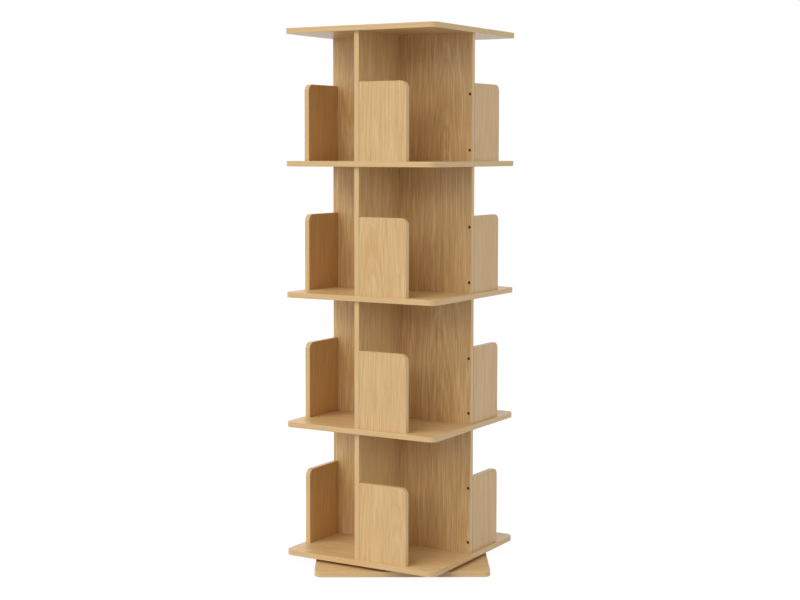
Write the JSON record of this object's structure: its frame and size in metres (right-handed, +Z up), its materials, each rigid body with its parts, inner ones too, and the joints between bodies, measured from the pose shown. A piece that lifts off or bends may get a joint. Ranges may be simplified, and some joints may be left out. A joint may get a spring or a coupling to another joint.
{
  "type": "revolving bookcase",
  "caption": "Tall revolving bookcase in light oak finish: square shelves, pinwheel uprights with low bookends, turning on a flat ball bearing over a square base board.",
  "frame": {"origin": "on the floor, on the axis that the tower turns about", "axes": "+Z up along that axis; the sides of the shelves are parallel to X and Y at rest, and the base stands turned 31 degrees about +Z under them"},
  "size_m": [0.6574, 0.6574, 1.5229],
  "materials": {
    "oak_laminate": "light oak melamine on particle board, straight grain, matt, with matching edge band",
    "beech": "turned beech, unfinished",
    "plate_steel": "zinc plated pressed sheet",
    "ball_steel": "polished steel balls",
    "cage_plastic": "natural moulded plastic",
    "screw_steel": "dark bronze plated steel",
    "pad_rubber": "thin black self-adhesive rubber"
  },
  "bodies": {
    "base": {"base_board": "oak_laminate", "floor_pads": "pad_rubber", "bearing_lower_plate": "plate_steel", "bearing_lower_screws": "screw_steel", "bearing_rivet": "plate_steel"},
    "ball_cage": {"bearing_cage": "cage_plastic", "bearing_balls": "ball_steel"},
    "tower": {"bearing_upper_plate": "plate_steel", "bearing_upper_screws": "screw_steel", "bottom_shelf": "oak_laminate", "tier2_shelf": "oak_laminate", "tier3_shelf": "oak_laminate", "tier4_shelf": "oak_laminate", "top_board": "oak_laminate", "tier1_right_upright": "oak_laminate", "tier1_right_bookend": "oak_laminate", "tier1_back_upright": "oak_laminate", "tier1_back_bookend": "oak_laminate", "tier1_left_upright": "oak_laminate", "tier1_left_bookend": "oak_laminate", "tier1_front_upright": "oak_laminate", "tier1_front_bookend": "oak_laminate", "tier1_bookend_screws": "screw_steel", "tier1_upright_screws": "screw_steel", "tier1_dowels": "beech", "tier2_right_upright": "oak_laminate", "tier2_right_bookend": "oak_laminate", "tier2_back_upright": "oak_laminate", "tier2_back_bookend": "oak_laminate", "tier2_left_upright": "oak_laminate", "tier2_left_bookend": "oak_laminate", "tier2_front_upright": "oak_laminate", "tier2_front_bookend": "oak_laminate", "tier2_bookend_screws": "screw_steel", "tier2_upright_screws": "screw_steel", "tier2_dowels": "beech", "tier3_right_upright": "oak_laminate", "tier3_right_bookend": "oak_laminate", "tier3_back_upright": "oak_laminate", "tier3_back_bookend": "oak_laminate", "tier3_left_upright": "oak_laminate", "tier3_left_bookend": "oak_laminate", "tier3_front_upright": "oak_laminate", "tier3_front_bookend": "oak_laminate", "tier3_bookend_screws": "screw_steel", "tier3_upright_screws": "screw_steel", "tier3_dowels": "beech", "tier4_right_upright": "oak_laminate", "tier4_right_bookend": "oak_laminate", "tier4_back_upright": "oak_laminate", "tier4_back_bookend": "oak_laminate", "tier4_left_upright": "oak_laminate", "tier4_left_bookend": "oak_laminate", "tier4_front_upright": "oak_laminate", "tier4_front_bookend": "oak_laminate", "tier4_bookend_screws": "screw_steel", "tier4_upright_screws": "screw_steel", "tier4_dowels": "beech"}
  },
  "joints": [
    {"name": "tower_spin", "type": "hinge", "parent": "base", "child": "tower", "pos_m": [0, 0, 0.0202], "axis": [0, 0, 1], "continuous": true},
    {"name": "ball_cage_spin", "type": "hinge", "parent": "base", "child": "ball_cage", "pos_m": [0, 0, 0.0202], "axis": [0, 0, 1], "continuous": true}
  ],
  "couplings": [
    {"joint": "ball_cage_spin", "follows": "tower_spin", "ratio": 0.5}
  ]
}
